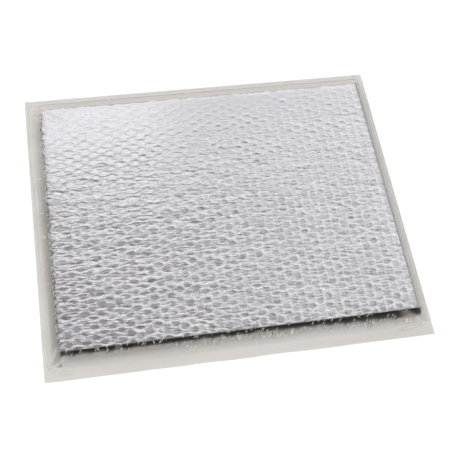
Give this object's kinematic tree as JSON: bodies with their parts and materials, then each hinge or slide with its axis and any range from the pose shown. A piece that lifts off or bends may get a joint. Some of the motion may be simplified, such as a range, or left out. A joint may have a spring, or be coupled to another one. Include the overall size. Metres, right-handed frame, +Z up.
{
  "type": "folding foil bubble sleeping pad in a film bag",
  "caption": "Foil-faced bubble sleeping pad folded like an accordion into four panels, lying in a flat clear film bag with a welded back and an open front lip.",
  "frame": {"origin": "middle of the bag's footprint, on the surface it lies on", "axes": "+X along the width of the folded pad, +Y from the open lip to the welded back, +Z up"},
  "size_m": [0.448, 0.382, 0.0159],
  "materials": {
    "foil": "bright metallised film, embossed by the bubbles under it and finely wrinkled across the panel",
    "bubble_film": "clear air-bubble film, milky at the cut edge",
    "bag_film": "thin clear polyethylene film, slightly hazy, with soft tension creases",
    "bag_weld": "two films welded together, with a dotted seam line"
  },
  "bodies": {
    "bag": {"bag_bottom_film": "bag_film", "bag_top_film": "bag_film", "bag_left_film": "bag_film", "bag_right_film": "bag_film", "bag_back_film": "bag_film", "bag_front_film": "bag_film", "bag_back_weld": "bag_weld", "bag_front_lip": "bag_film"},
    "panel_1": {"panel_1_lower_foil": "foil", "panel_1_bubble_core": "bubble_film", "panel_1_upper_foil": "foil", "fold_1_2": "foil"},
    "panel_2": {"panel_2_lower_foil": "foil", "panel_2_bubble_core": "bubble_film", "panel_2_upper_foil": "foil", "fold_2_3": "foil"},
    "panel_3": {"panel_3_lower_foil": "foil", "panel_3_bubble_core": "bubble_film", "panel_3_upper_foil": "foil", "fold_3_4": "foil"},
    "panel_4": {"panel_4_lower_foil": "foil", "panel_4_bubble_core": "bubble_film", "panel_4_upper_foil": "foil"}
  },
  "joints": [
    {"name": "pad_slide", "type": "slide", "parent": "bag", "child": "panel_1", "axis": [0, -1, 0], "range_m": [0, 0.38], "deforming": ["bag_front_film"]},
    {"name": "fold_1", "type": "hinge", "parent": "panel_1", "child": "panel_2", "pos_m": [0.20735, 0, 0.00415], "axis": [0, 1, 0], "range_deg": [0, 180], "deforming": ["bag_top_film", "bag_left_film", "bag_right_film", "bag_back_film", "fold_1_2"]},
    {"name": "fold_2", "type": "hinge", "parent": "panel_2", "child": "panel_3", "pos_m": [-0.20035, 0, 0.00795], "axis": [0, -1, 0], "range_deg": [0, 180], "deforming": ["fold_2_3"]},
    {"name": "fold_3", "type": "hinge", "parent": "panel_3", "child": "panel_4", "pos_m": [0.20735, 0, 0.01175], "axis": [0, 1, 0], "range_deg": [0, 180], "deforming": ["fold_3_4"]}
  ],
  "couplings": [
    {"joint": "fold_2", "follows": "fold_1", "ratio": 1},
    {"joint": "fold_3", "follows": "fold_1", "ratio": 1}
  ]
}
